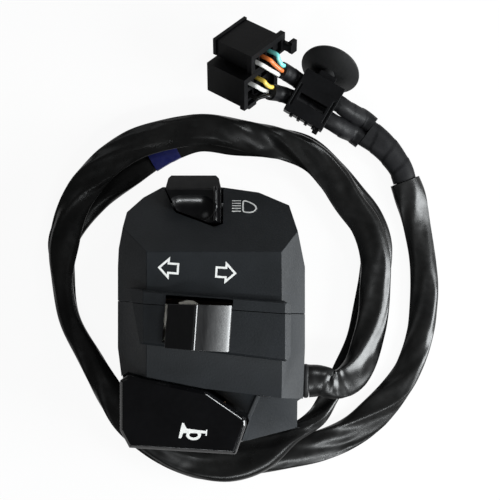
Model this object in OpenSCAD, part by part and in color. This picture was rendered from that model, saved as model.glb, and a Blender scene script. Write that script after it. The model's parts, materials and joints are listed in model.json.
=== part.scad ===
// Handlebar switch cluster: two clamped housing halves with dimmer, turn and horn switches, and its looped
// wiring harness. It lies on its back: +Z is the rider's side, X runs along the handlebar.

/* [Handlebar clamp] */
// Diameter of the handlebar
bar_d = 22.2; // [21.8:0.1:22.6]
// Wall of the tunnel round the handlebar
tunnel_wall = 2.5; // [2:0.1:2.8]
// Handlebar axis above the middle of the housing
bar_y = 2.3; // [1.8:0.1:2.8]
// Room behind the tunnel for the rear clamp screw
rear_room = 7.4; // [7:0.1:9]
// Room in front of the tunnel for the turn switch
switch_room = 13.4; // [13.2:0.1:15]

/* [Housing] */
// Width along the handlebar
housing_w = 63; // [62:0.5:66]
// Top edge above the middle
housing_top = 43.2; // [42.8:0.1:44]
// Bottom edge below the middle
housing_bottom = 43; // [42.6:0.1:44]
// Thickness of the shells
wall = 2.5; // [2:0.1:2.8]
// How far the band of the turn switch stands proud
band_rise = 2.5; // [1.5:0.1:2.8]
// Slope of the parting line, degrees
part_tilt = 4; // [2:0.5:5]
// Seam between the halves
seam = 0.2; // [0.1:0.05:0.4]

/* [Clamp screws] */
// Diameter of the screws
clamp_screw_d = 4; // [3.5:0.1:4.2]
// Length of the screws under the head
clamp_screw_l = 38; // [36:0.5:39]
// Outer diameter of the brass inserts
insert_d = 6; // [5.6:0.1:6.4]
// Length of the brass inserts
insert_l = 8; // [6:0.5:9]

/* [Dimmer rocker] */
// Width of the rocker
rocker_w = 18.8; // [17:0.2:19]
// Swing between low and high beam, degrees
rocker_swing = 12; // [8:1:12]
// Diameter of the pivot pin
rocker_pin_d = 2.5; // [2:0.1:2.8]
// Diameter of the detent balls
ball_d = 3; // [2.6:0.1:3.1]

/* [Turn switch] */
// Width of the knob
knob_w = 21.3; // [19:0.1:22]
// Depth of the knob across the band
knob_depth = 15.4; // [14:0.1:16]
// Travel of the slider to each side
turn_travel = 3.5; // [2.5:0.1:3.6]
// Travel of the knob when it is pushed to cancel
push_travel = 1.5; // [1:0.1:1.6]

/* [Horn button] */
// Thickness of the button
horn_thick = 6.5; // [6:0.1:7]
// Wall of the button
horn_wall = 2; // [1.6:0.1:2.4]
// Swing of the button, degrees
horn_swing = 4; // [2:0.5:4]
// Diameter of its pivot pin
horn_pin_d = 2.4; // [2:0.1:2.6]

/* [Harness] */
// Thickness of the flattened sleeve
sleeve_thick = 4.4; // [4:0.1:4.4]
// Width of the taped bundle where it parts
bundle_w = 10.6; // [10:0.1:11]
// Height of the taped bundle
bundle_h = 5.8; // [5.4:0.1:6]
// Diameter of a taped branch
branch_d = 6; // [5.6:0.1:6.2]
// Diameter of a wire
wire_d = 1.6; // [1.4:0.1:1.8]

/* [Connectors and clip] */
// Length of the connector housings
connector_l = 17.8; // [16:0.2:18]
// Width of the connector housings
connector_w = 16.2; // [15:0.2:16.4]
// Height of the upper connector
upper_h = 6.6; // [6.4:0.2:7.4]
// Height of the lower connector
lower_h = 12; // [11:0.2:12.6]
// Diameter of the clip's umbrella
umbrella_d = 21.6; // [19:0.2:22]
// Wall of the harness clip
clip_wall = 1.6; // [1.2:0.1:2]

/* [Hidden] */
$fn = 48;

// Fits: a running pin, a sliding block, a moving piece beside the housing
run_gap = 0.05;
slide_gap = 0.3;
open_gap = 0.7;

// The handlebar and the depth of the housing
bar_r = bar_d / 2;
tunnel_r = bar_r + tunnel_wall;
bar_z = rear_room + tunnel_r;
front_z = bar_z + tunnel_r + switch_room;
band_z = front_z + band_rise;
inner_z = front_z - wall;
half_w = housing_w / 2;

// Housing seen from the front, from the side and from the end
front_outline = [[half_w - 2.3, -30], [half_w - 0.7, -29], [half_w, bar_y - tunnel_r],
    [half_w, bar_y + tunnel_r], [half_w - 2.5, 28], [half_w - 5.2, housing_top - 6.4],
    [half_w - 15.5, housing_top - 1.9],
    [half_w - 28.5, housing_top], [-half_w + 14.5, housing_top], [-half_w + 8.1, housing_top - 3.7],
    [-half_w + 2.8, housing_top - 8.8],
    [-half_w + 0.3, 22], [-half_w, bar_y + tunnel_r], [-half_w, bar_y - tunnel_r], [-half_w + 1.2, -20],
    [-half_w + 2.9, -housing_bottom + 5.5], [-half_w + 5.5, -housing_bottom + 1.2],
    [half_w - 19.5, -housing_bottom], [half_w - 2.3, -housing_bottom + 3.5]];
crease_y = 21;
slope_foot_z = front_z - 20;
back_cut = 18;
side_profile = [[-housing_bottom + back_cut, 0], [housing_top - 6, 0], [housing_top, 6],
    [housing_top, slope_foot_z], [crease_y, front_z], [-housing_bottom, front_z],
    [-housing_bottom, back_cut]];
chamfer_h = 9;
end_profile = [[-half_w + 3, 0], [half_w - 3, 0], [half_w, 3], [half_w, front_z - chamfer_h],
    [half_w - 8, front_z], [-half_w + 10.2, front_z], [-half_w, front_z - chamfer_h], [-half_w, 3]];
band_bevel = 0.8;
band_outline = [[-23.4, -9.4], [24.8, -15.2], [26.4, -13.6], [26.6, 3.4], [24.2, 4.8], [-27, 8.8]];

// Step under the front shell: its shelf falls forward, and beyond a crease also to the right.
// Then the notch that clears the harness
step_line = [[-1.2, -24.4], [half_w + 2, -29.6]];
shelf_z = front_z - 2.4;
shelf_fall = 0.2;
crease_x = 27.4;
crease_skew = 0.43;
step_fall = 0.6;
notch_reach = 40.3;
notch_z = 15.8;
cut_l = 2 * housing_w;

// Clamp screws: the rear one behind the tunnel, the front one beside the turn switch
clamp_x = [-14, 20];
clamp_z = [4.6, front_z - 5];
clamp_head_y = -24;
clamp_head_d = clamp_screw_d * 1.75;
clamp_head_h = 3.2;
boss_r = insert_d / 2 + 1.4;
insert_y = 5;

// Grommet in the right wall
grommet_y = -24.5;
grommet_z = 13;
grommet_r = 3.9;
grommet_half = 2.6;
grommet_out = 2.1;
grommet_face = half_w + grommet_out;

// Dimmer rocker: pivot, pad and arm
rocker_x = -6.2;
rocker_y = housing_top - 6.7;
rocker_z = slope_foot_z + 2;
rocker_top = housing_top + 3.8;
rocker_rib = 1.8;
rocker_l = rocker_x - rocker_w / 2;
rocker_r = rocker_x + rocker_w / 2;
rocker_plan = [[rocker_l + 1.9, rocker_top + 0.1], [rocker_l + 0.8, rocker_top - 1], [rocker_l, rocker_y + 6],
    [rocker_l + 3.8, rocker_y - 1.6], [rocker_r - 2.2, rocker_y - 6.4], [rocker_r, rocker_y - 5.6],
    [rocker_r, rocker_y + 6], [rocker_r - 0.8, rocker_top - 1], [rocker_r - 1.9, rocker_top + 0.1]];
dish_r = 6.6;
dish_half = 5.1;
dish_y = rocker_y - 0.5;
dish_z = rocker_z + 12.6;
dish_x = [rocker_l + 0.4 + dish_half, rocker_r - rocker_rib - dish_half];
track_r = 9.8;
ball_r = ball_d / 2;
dimmer_ball_z = rocker_z - track_r + ball_r + 0.4;
arm_bottom = rocker_z - track_r + 1.8;
cheek = 3;
base_floor = wall + 6;
dimmer_ears = [rocker_x - 10.3, rocker_x + 10.7];
dimmer_ear_y = rocker_y - 2.5;

// Turn switch: its own axes follow the band
turn_x = -3.85;
turn_y = -3.5;
turn_base_z = bar_z + tunnel_r + 0.4;
turn_floor = turn_base_z + 2;
slider_z = turn_floor + slide_gap;
slider_top = inner_z - 1.2;
slider_half_u = 13.6;
slider_bevel = 1.6;
slider_half_v = 6.3;
stem_u = 6.5;
stem_v = 4.8;
pocket_z = slider_z + 1.9;
stem_z = pocket_z + 3.8;
cap_z = band_z + push_travel + 0.6;
ridge_u = -1.35;
knob_taper = 1;
slot_reach = stem_u + turn_travel + open_gap;
slot_u = [-max(knob_w / 2 + 1.1, slot_reach), slot_reach];
rail_h = 2.5;
rail_w = 1.5;
plate_u = slider_half_u + turn_travel + 1;
turn_ear_u = 15.5;
turn_ear_v = slider_half_v + 4.9;
detent_u = 11.4;
turn_ball_z = turn_floor + 0.3 + ball_r;

// Horn button
horn_top = band_z - 0.5;
horn_low = horn_top - horn_thick;
horn_ceiling = horn_top - horn_wall;
horn_bevel = 1;
horn_left = -half_w + 1.5;
horn_y = -housing_bottom - 3;
horn_outline = [[horn_left, horn_y + 8], [horn_left + 3.1, horn_y + 2.2], [8.4, horn_y], [12, horn_y + 10],
    [11.4, horn_y + 12.2], [-1.2, horn_y + 20.8], [horn_left + 2.4, horn_y + 26.1],
    [horn_left, horn_y + 24.5]];
pocket_floor = front_z - 13;
horn_pin_x = horn_left + 5.4;
horn_lugs = [[horn_y + 8, horn_y + 10.6], [horn_y + 20.2, horn_y + 21.8]];
horn_pin_y = [horn_lugs[0][0] + 0.5, horn_lugs[1][1] - 0.5];
horn_knuckle = [horn_lugs[0][1] + 0.4, horn_lugs[1][0] - 0.4];
horn_base_box = [[-15.4, horn_y + 5.4], [4.8, horn_y + 16.6]];
horn_pin_z = horn_low - 1.3;
horn_base_top = pocket_floor + 4;
horn_spring_at = [-9, horn_y + 13];
horn_contact_at = [2, horn_y + 13];
horn_drop = (horn_contact_at.x - horn_pin_x) * sin(horn_swing);
horn_contact_z = horn_low + 0.1;
horn_screws_at = [[-12.6, horn_y + 8], [-3.4, horn_y + 8.2]];

// Harness route: x, y, z and half the width of the sleeve there; at its mouth also half its height
wide = 5.7;
slim = 3.8;
low = 2.6;
high = 7.5;
sleeve_route = [[grommet_face, grommet_y, grommet_z, 5], [38, grommet_y, grommet_z, 5],
    [43, -25.8, 12.8, 5], [47.8, -24, 11.8, wide], [52, -18.8, 9.8, wide], [54.8, -10.8, 7.8, wide],
    [56.8, -1.4, high, wide], [57.6, 9.2, high, wide], [57.4, 19.8, high, wide], [54.2, 30, high, wide],
    [48.2, 38.4, high, wide], [42.4, 47.4, high, wide], [34.4, 55, high, wide], [23.8, 59.4, high, wide],
    [11.2, 62, high, wide], [-1.2, 64.4, high, wide], [-15.4, 63, high, wide], [-29.4, 58.4, high, wide],
    [-41, 49.6, high, wide], [-49.4, 37.8, high, wide], [-53.2, 24, high, wide], [-53.8, 10.4, high, 4],
    [-51.2, -3, high, 4], [-45, -15, high, 4.2], [-38, -27, high, 5], [-30.2, -39.2, high, wide],
    [-18.8, -48.4, high, wide], [-6.4, -53.6, high, wide], [6, -54, high, 5], [17.4, -50.4, high, 4.4],
    [27.6, -44, high, slim], [37, -37.6, 6.2, slim], [42, -29.4, 4.4, slim], [46.8, -21.6, 3, 4.4],
    [52, -11.4, low, 5], [55.4, 0.8, low, wide], [57.6, 12.6, low, wide], [58.4, 23.4, low, wide],
    [55.4, 32.4, low, wide], [49.2, 40.6, low, wide], [42.4, 48.8, low, wide], [33, 57.2, low, wide],
    [19.8, 60.2, low, wide], [7.6, 61, low, wide], [-5.6, 62.2, low, wide], [-18.8, 57.4, low, wide],
    [-31.2, 49.2, low, wide], [-43.4, 39.8, low, wide], [-53.4, 26.6, low, wide], [-53.6, 11, low, 4],
    [-51.4, -3.4, low, 4], [-44.4, -17, low, 4.4], [-36.2, -31.4, low, 5.2], [-26.4, -43.6, low, wide],
    [-14, -51.8, low, wide], [-0.6, -55.4, low, wide], [13, -53.4, low, wide], [25.6, -51.2, low, wide],
    [38.4, -48.4, low, wide], [50.4, -42.8, low, wide], [60.4, -33.8, low, 5.9], [69, -22.2, low, 5],
    [73.8, -9.2, low, 5], [75.4, 4.4, low, 5.2], [75, 17.2, low, 4.9], [73, 30, low, 5.1],
    [70.6, 40, 3.2, 5.8, 2.8], [68.4, 46.2, 3.6, 5.5, 3.2]];
sleeve_end = place(sleeve_route[len(sleeve_route) - 1]);
sleeve_turn = heading(sleeve_route, len(sleeve_route) - 1);
bundle_route = [concat(sleeve_end, 4.4), concat(sleeve_end + 4 * sleeve_turn, 4.5), [64.2, 54.7, 4, 4.7],
    [60, 59.4, 4.6, 5], [54.7, 63.4, 5, bundle_w / 2]];
marker_route = [[-14.2, 59.8, low], [-18.8, 57.4, low], [-23.2, 54.8, low]];

// Harness clip round both branches
clip_at = [35.6, 74.4, 11.4];
clip_turn = -30;
clip_l = 15.5;
branch_apart = 3.3;
clip_room_w = 2 * branch_apart + branch_d + 0.8;
clip_room_h = branch_d + 0.8;
clip_w = clip_room_w + 2 * clip_wall;
clip_h = clip_room_h + 2 * clip_wall;
umbrella_at = [41.4, 85.4, 9.3];
umbrella_lean = 128;
umbrella_turn = 64;

// Branches: they leave the end of the bundle side by side, and rise to the connectors
bundle_end = place(bundle_route[4]);
bundle_turn = heading(bundle_route, 4);
bundle_side = unit(cross(bundle_turn, [0, 0, 1]));
branch_step = branch_d / 2 + 0.15;
upper_start = bundle_end + branch_step * bundle_side;
lower_start = bundle_end - branch_step * bundle_side;
upper_route = [upper_start, upper_start + 4 * bundle_turn, [48.9, 70.4, 8.8], in_clip(8.6, branch_apart),
    in_clip(-8.6, branch_apart), [26.8, 83.4, 13.8], [23.8, 84.6, 17.6]];
lower_route = [lower_start, lower_start + 4 * bundle_turn, [45.9, 64.7, 8.8], in_clip(8.6, -branch_apart),
    in_clip(-8.6, -branch_apart), [23, 76.6, 13.6], [20, 77, 17.2]];

// Connectors: both stand tilted, the wires leave along their own X
connector_tilt = -47;
connector_turn = -39;
connector_at = [14.3, 87.3, 29.2];
ledge = 4;
flange = 1.2;
flange_l = 2;
cell = 3.2;
upper_cells = [[2.9, -4], [6.9, -4], [10.9, -4]];
lower_cells = [[-0.4, -11.2], [3.6, -11.2], [7.6, -11.2], [-0.4, -16.2], [3.6, -16.2], [7.6, -16.2]];

// Vectors, polygons and swept tubes
function unit(v) = v / norm(v);
function inset(p, d) = [for (i = [0:len(p) - 1])
    let (n = len(p), u = unit(p[i] - p[(i + n - 1) % n]), v = unit(p[(i + 1) % n] - p[i]),
        a = [-u.y, u.x], b = [-v.y, v.x])
    p[i] + (a + b) * d / (1 + a * b)];
function place(p) = [p.x, p.y, p.z];
function in_clip(x, y) = clip_at + turned_z([x, y, 0], clip_turn);
function heading(p, i) = unit(place(p[min(i + 1, len(p) - 1)]) - place(p[max(i - 1, 0)]));
function ring(c, t, a, b, n) = let (s = unit(cross(t, [0, 0, 1])), u = cross(s, t))
    [for (k = [0:n - 1]) c + a * cos(360 * k / n) * s + b * sin(360 * k / n) * u];
function half_width(q, a) = len(q) > 3 ? q[3] : a;
function half_height(q, b) = len(q) > 4 ? q[4] : b;
function helix(r, z0, z1, turns, steps) = [for (i = [0:turns * steps])
    [r * cos(360 * i / steps), r * sin(360 * i / steps), z0 + (z1 - z0) * i / (turns * steps)]];

// Closed tube along points, a wide and b high at each side of its middle
module tube(p, a, b, n) {
    last = len(p) - 1;
    points = [for (i = [0:last])
        each ring(place(p[i]), heading(p, i), half_width(p[i], a), half_height(p[i], b), n)];
    walls = [for (i = [0:last - 1], k = [0:n - 1])
        let (q = i * n + k, r = i * n + (k + 1) % n) each [[q, r, r + n], [q, r + n, q + n]]];
    start_cap = [for (k = [1:n - 2]) [0, k + 1, k]];
    end_cap = [for (k = [1:n - 2]) [last * n, last * n + k, last * n + k + 1]];
    polyhedron(points, concat(walls, start_cap, end_cap));
}

// Least gap of the sleeve to itself, between points of the route that are several diameters apart
sleeve_skip = 5;
function stack_gap(p, q) = abs(p.z - q.z) - sleeve_thick;
function plan_gap(p, q) = norm([p.x - q.x, p.y - q.y]) - p[3] - q[3];
sleeve_gaps = [for (i = [0:len(sleeve_route) - 1], j = [i + sleeve_skip:1:len(sleeve_route) - 1])
    max(stack_gap(sleeve_route[i], sleeve_route[j]), plan_gap(sleeve_route[i], sleeve_route[j]))];
echo(sleeve_least_gap = min(sleeve_gaps));

// Coil spring of round wire standing along Z
module coil_spring(r, wire, z0, z1, turns) {
    tube(helix(r, z0 + wire / 2, z1 - wire / 2, turns, 8), wire / 2, wire / 2, 6);
}

// Outlines drawn from the side and from the end, made into prisms
module prism_x(p, x0, x1) {
    translate([x0, 0, 0]) rotate([90, 0, 90]) linear_extrude(x1 - x0) polygon(p);
}
module prism_y(p, y0, y1) {
    translate([0, y1, 0]) rotate([90, 0, 0]) linear_extrude(y1 - y0) polygon(p);
}
module prism_z(p, z0, z1) {
    translate([0, 0, z0]) linear_extrude(z1 - z0) polygon(p);
}
module rod_x(r, x0, x1, y, z) {
    translate([x0, y, z]) rotate([0, 90, 0]) cylinder(r = r, h = x1 - x0);
}
module rod_y(r, y0, y1, x, z) {
    translate([x, y1, z]) rotate([90, 0, 0]) cylinder(r = r, h = y1 - y0);
}
module rod_z(r, z0, z1, at) {
    translate([at.x, at.y, z0]) cylinder(r = r, h = z1 - z0);
}
module block(low_corner, high_corner) {
    translate(low_corner) cube(high_corner - low_corner);
}

// Cuts a bevel along the top edges of an outline
module bevel_cut(p, z, c) {
    for (i = [0:len(p) - 1]) {
        a = p[i];
        b = p[(i + 1) % len(p)];
        translate([a.x, a.y, z - c]) rotate([0, 0, atan2(b.y - a.y, b.x - a.x)]) rotate([45, 0, 0])
            translate([-2 * c, -2 * c, 0]) cube([norm(b - a) + 4 * c, 4 * c, 4 * c]);
    }
}

// Housing before it is split
module housing_mass(grow) {
    intersection() {
        prism_z(inset(front_outline, -grow), -grow, front_z + grow);
        prism_x(inset(side_profile, -grow), -half_w - grow, half_w + grow);
        prism_y(inset(end_profile, -grow), -housing_bottom - grow, housing_top + grow);
    }
}
module band() {
    difference() {
        intersection() {
            prism_z(band_outline, inner_z - 6, band_z);
            prism_y(inset(end_profile, -band_rise), -housing_bottom, housing_top);
        }
        bevel_cut(band_outline, band_z, band_bevel);
    }
}
// Space above a sloped plane through a point, lowered by grow
module above_plane(at, dx, dy, grow) {
    translate(at) rotate([asin(dy / norm([dx, dy, 1])), atan(-dx), 0])
        translate([-cut_l / 2, -cut_l / 2, -grow]) cube(cut_l);
}
// Space in front of the step and round the horn button, grown by the wall for the inside
module step_space(grow) {
    side = [[step_line[0].x - grow, step_line[0].y + grow], [step_line[0].x - grow, -housing_bottom - 9],
        [half_w + 9, -housing_bottom - 9], [half_w + 9, step_line[1].y + grow]];
    intersection() {
        prism_z(side, 0, band_z + 5);
        union() {
            above_plane([0, 0, shelf_z], 0, shelf_fall, grow);
            above_plane([crease_x, 0, shelf_z], -step_fall, shelf_fall + step_fall * crease_skew, grow);
        }
    }
    prism_z(inset(horn_outline, -open_gap - grow), pocket_floor - grow, band_z + 5);
}
// Corner cut away over the harness at the lower left
module harness_notch(grow) {
    rotate([0, 0, 225]) translate([notch_reach - grow, -cut_l / 2, -1])
        cube([cut_l, cut_l, notch_z + 1 + grow]);
}
module handlebar(r) {
    rod_x(r, -half_w - 5, half_w + 5, bar_y, bar_z);
}
module above_parting(shift) {
    translate([0, bar_y, -5]) rotate([0, 0, -part_tilt]) translate([-cut_l / 2, shift, 0]) cube(cut_l);
}
module below_parting(shift) {
    translate([0, bar_y, -5]) rotate([0, 0, -part_tilt]) translate([-cut_l / 2, -cut_l - shift, 0])
        cube(cut_l);
}
module outer_housing() {
    difference() {
        union() {
            housing_mass(0);
            band();
        }
        step_space(0);
        harness_notch(0);
    }
}
module shell() {
    difference() {
        outer_housing();
        difference() {
            housing_mass(-wall);
            step_space(wall);
            harness_notch(wall);
            handlebar(tunnel_r);
        }
        handlebar(bar_r);
        turn_axes() turn_slot();
    }
}
// Bosses of the clamp screws, with a rib that ties the front one to the front wall
module clamp_bosses() {
    for (i = [0, 1])
        rod_y(boss_r, clamp_head_y - 8, insert_y + insert_l + 2, clamp_x[i], clamp_z[i]);
    block([clamp_x[1] - 1, clamp_head_y - 8, clamp_z[1]],
        [clamp_x[1] + 1, insert_y + insert_l + 2, inner_z + 1]);
}

module upper_housing() {
    pivot_lug = [[rocker_y - 4, rocker_z - 4], [rocker_y + 4, rocker_z - 4], [rocker_y + 4, rocker_z + 9],
        [rocker_y - 4, rocker_z + 9]];
    slot_l = rocker_l - open_gap;
    slot_r = rocker_r + open_gap;
    color("#1c1c1e") difference() {
        union() {
            intersection() {
                shell();
                above_parting(seam / 2);
            }
            intersection() {
                outer_housing();
                above_parting(seam / 2);
                union() {
                    clamp_bosses();
                    prism_x(pivot_lug, slot_l - cheek, slot_l);
                    prism_x(pivot_lug, slot_r, slot_r + cheek);
                    for (x = dimmer_ears)
                        rod_z(3, 1, base_floor, [x, dimmer_ear_y]);
                }
            }
        }
        handlebar(bar_r);
        prism_z(inset(rocker_plan, -open_gap), rocker_z - 3, band_z);
        rod_x(rocker_pin_d / 2, slot_l - cheek + 0.6, slot_r + cheek - 0.6, rocker_y, rocker_z);
        for (i = [0, 1]) {
            rod_y(insert_d / 2, 0, insert_y + insert_l, clamp_x[i], clamp_z[i]);
            rod_y(clamp_screw_d / 2 + run_gap, 0, clamp_head_y + clamp_screw_l + 0.5, clamp_x[i],
                clamp_z[i]);
        }
        for (x = dimmer_ears)
            rod_z(1.3, wall, base_floor + 1, [x, dimmer_ear_y]);
    }
}

module lower_housing() {
    turn_boss_at = [[-turn_ear_u, -turn_ear_v], [turn_ear_u, -turn_ear_v]];
    color("#1e1e20") difference() {
        union() {
            intersection() {
                shell();
                below_parting(seam / 2);
            }
            intersection() {
                outer_housing();
                below_parting(seam / 2);
                union() {
                    clamp_bosses();
                    turn_axes() for (p = turn_boss_at)
                        rod_z(2.7, turn_floor, inner_z + 1, p);
                }
            }
            for (s = horn_lugs)
                horn_lug(s[0], s[1]);
        }
        handlebar(bar_r);
        rod_y(horn_pin_d / 2, horn_pin_y[0], horn_pin_y[1], horn_pin_x, horn_pin_z);
        for (i = [0, 1]) {
            rod_y(clamp_screw_d / 2 + 0.3, clamp_head_y - 1, insert_y, clamp_x[i], clamp_z[i]);
            rod_y(clamp_head_d / 2 + 0.3, clamp_head_y - 12, clamp_head_y, clamp_x[i], clamp_z[i]);
        }
        turn_axes() for (p = turn_boss_at)
            rod_z(1.1, turn_floor - 1, turn_floor + 6.5, p);
        for (p = horn_screws_at)
            rod_z(1.3, pocket_floor - wall - 1, pocket_floor + 1, p);
        rod_z(1.6, pocket_floor - wall - 1, pocket_floor + 1, horn_contact_at);
        grommet_rod(grommet_r, half_w - 8, half_w + 5);
        grommet_rod(grommet_r + 1.2, half_w - 9, half_w - 3.6 + run_gap);
    }
}
module horn_lug(y0, y1) {
    block([horn_pin_x - 2.3, y0, pocket_floor - 1], [horn_pin_x + 2.3, y1, horn_pin_z]);
    rod_y(2.3, y0, y1, horn_pin_x, horn_pin_z);
}
module clamp_screws() {
    color("#8d9094") for (i = [0, 1])
        difference() {
            union() {
                rod_y(clamp_screw_d / 2 - run_gap, clamp_head_y, clamp_head_y + clamp_screw_l, clamp_x[i],
                    clamp_z[i]);
                rod_y(clamp_head_d / 2, clamp_head_y - clamp_head_h, clamp_head_y, clamp_x[i], clamp_z[i]);
            }
            for (a = [0, 90])
                translate([clamp_x[i], clamp_head_y - clamp_head_h, clamp_z[i]]) rotate([0, a, 0])
                    cube([clamp_head_d * 0.62, 3.2, 0.9], center = true);
        }
}
module clamp_inserts() {
    color("#b08d3c") for (i = [0, 1])
        difference() {
            rod_y(insert_d / 2, insert_y, insert_y + insert_l, clamp_x[i], clamp_z[i]);
            rod_y(clamp_screw_d / 2, insert_y - 1, insert_y + insert_l + 1, clamp_x[i], clamp_z[i]);
        }
}
// Flattened round bar along X at the cable outlet
module grommet_rod(r, x0, x1) {
    for (s = [-1, 1])
        rod_x(r, x0, x1, grommet_y + s * grommet_half, grommet_z);
    block([x0, grommet_y - grommet_half, grommet_z - r], [x1, grommet_y + grommet_half, grommet_z + r]);
}
module cable_grommet() {
    color("#161617") difference() {
        union() {
            grommet_rod(grommet_r + 1, half_w - 5.3, half_w - 3.6);
            grommet_rod(grommet_r, half_w - 4, half_w + 0.6);
            grommet_rod(grommet_r + 1, half_w + 0.1, grommet_face);
        }
        grommet_rod(grommet_r - 1.8, half_w - 9, grommet_face + 1);
    }
}

module dimmer_rocker() {
    pad = [[rocker_y - 6, rocker_z + 8.4], [rocker_y - 5.4, rocker_z + 10.2],
        [rocker_y + 5.4, rocker_z + 6.9], [rocker_y + 6.2, rocker_z + 6.2],
        [rocker_top, rocker_z + 2.2], [rocker_top - 0.8, rocker_z + 0.7],
        [rocker_y + 3, rocker_z - 0.4], [rocker_y + 2, arm_bottom], [rocker_y - 2, arm_bottom],
        [rocker_y - 3.6, rocker_z + 1]];
    color("#0c0c0d") difference() {
        intersection() {
            prism_x(pad, rocker_l, rocker_r);
            prism_z(rocker_plan, arm_bottom - 1, front_z);
        }
        rod_x(dish_r, dish_x[0], dish_x[1], dish_y, dish_z);
        for (x = dish_x)
            translate([x, dish_y, dish_z]) sphere(dish_r);
        rod_x(rocker_pin_d / 2 + run_gap, rocker_l - 1, rocker_r + 1, rocker_y, rocker_z);
        rod_z(ball_r + 0.1, arm_bottom - 1, rocker_z - 2, [rocker_x, rocker_y]);
        block([rocker_l - 1, rocker_y - 9, arm_bottom - 1], [rocker_l + 2.4, rocker_y + 9, rocker_z - 2.6]);
        block([rocker_r - 2.4, rocker_y - 9, arm_bottom - 1], [rocker_r + 1, rocker_y + 9, rocker_z - 2.6]);
        block([rocker_x - 5.4, rocker_y - 9, arm_bottom - 1],
            [rocker_x - 2.9, rocker_y + 9, arm_bottom + 1.4]);
    }
}
module dimmer_pivot_pin() {
    reach = open_gap + cheek - 0.7;
    color("#a7a9ac") rod_x(rocker_pin_d / 2, rocker_l - reach, rocker_r + reach, rocker_y, rocker_z);
}
module dimmer_base() {
    color("#3a2a1e") difference() {
        union() {
            block([rocker_x - 7.6, rocker_y - 8, base_floor],
                [rocker_x + 8, rocker_y + 3.6, rocker_z - 7.5]);
            block([dimmer_ears[0] - 2.8, dimmer_ear_y - 2.8, base_floor],
                [dimmer_ears[1] + 2.8, dimmer_ear_y + 2.8, base_floor + 2.4]);
        }
        rod_x(track_r, rocker_l - 5, rocker_r + 5, rocker_y, rocker_z);
        for (a = [0, rocker_swing])
            rod_x(ball_r + 0.6, rocker_l - 5, rocker_r + 5, rocker_y + (dimmer_ball_z - rocker_z) * sin(a),
                rocker_z + (dimmer_ball_z - rocker_z) * cos(a));
        for (x = dimmer_ears)
            rod_z(1.3, base_floor - 1, base_floor + 4, [x, dimmer_ear_y]);
        for (p = dimmer_contacts_at())
            rod_z(0.8, base_floor - 1, rocker_z, p);
    }
}
module dimmer_base_screws() {
    color("#8d9094") for (x = dimmer_ears) {
        rod_z(1.3, wall + 0.5, base_floor + 2.4, [x, dimmer_ear_y]);
        rod_z(2.3, base_floor + 2.4, base_floor + 4, [x, dimmer_ear_y]);
    }
}
function dimmer_contacts_at() = [for (a = [0, rocker_swing])
    [rocker_x - 4.15, rocker_y - track_r * sin(a)]];
module dimmer_fixed_contacts() {
    color("#b08d3c") difference() {
        for (p = dimmer_contacts_at())
            rod_z(0.8, base_floor - 0.8, rocker_z - 7.5, p);
        rod_x(track_r, rocker_l, rocker_r, rocker_y, rocker_z);
    }
}
module dimmer_wiper() {
    color("#b08d3c") difference() {
        block([rocker_x - 5, rocker_y - 1.6, rocker_z - track_r],
            [rocker_x - 3.3, rocker_y + 1.6, arm_bottom + 1.4]);
        difference() {
            rod_x(track_r + 5, rocker_l, rocker_r, rocker_y, rocker_z);
            rod_x(track_r - slide_gap, rocker_l, rocker_r, rocker_y, rocker_z);
        }
    }
}
module dimmer_detent_spring() {
    color("#a7a9ac") translate([rocker_x, rocker_y, 0])
        coil_spring(ball_r - 0.4, 0.4, dimmer_ball_z + ball_r + 0.05, rocker_z - 2, 4);
}
module dimmer_detent_ball() {
    color("#c9cbcd") translate([rocker_x, rocker_y, dimmer_ball_z]) sphere(ball_r);
}

// The turn switch's own axes: X along its slide
module turn_axes() {
    translate([turn_x, turn_y, 0]) rotate([0, 0, -part_tilt]) children();
}
module turn_slot() {
    block([slot_u[0], -6.2, inner_z - 1], [slot_u[1], knob_depth / 2 + 1.8, band_z + 5]);
}
module turn_knob() {
    half = knob_w / 2;
    deep = knob_depth / 2;
    foot = cap_z + 1.2;
    rise = 4.2;
    bulge = 0.5;
    ridge_r = ridge_u + 0.4;
    dome = [for (t = [0:0.125:1])
        [half - t * (half - ridge_r), foot + rise * ((1 + bulge) * t - bulge * t * t)]];
    cap = concat([[-half, cap_z], [half, cap_z]], dome, [[ridge_u - 0.4, foot + rise],
        [-half, cap_z + 2]]);
    plan = [[-half, -deep], [half, -deep], [half, deep], [-half, deep - knob_taper]];
    color("#0c0c0d") turn_axes() {
        intersection() {
            prism_y(cap, -deep, deep);
            prism_z(plan, cap_z - 1, foot + rise + 1);
        }
        block([-stem_u, -stem_v, stem_z], [stem_u, stem_v, cap_z + 0.2]);
    }
}
module turn_slider() {
    gap = slide_gap;
    color("#d8d4c8") turn_axes() difference() {
        block([-slider_half_u, -slider_half_v, slider_z], [slider_half_u, slider_half_v, slider_top]);
        block([-stem_u - gap, -stem_v - gap, pocket_z], [stem_u + gap, stem_v + gap, slider_top + 1]);
        rod_z(ball_r + 0.1, slider_z - 1, slider_top - 1, [detent_u, 0]);
        block([-slider_half_u + 0.8, -3, slider_z - 1], [-8, 3, slider_z + 0.4]);
        translate([-slider_half_u, 0, slider_top]) rotate([0, 45, 0])
            cube([slider_bevel * sqrt(2), 2 * slider_half_v + 2, slider_bevel * sqrt(2)], center = true);
    }
}
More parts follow.
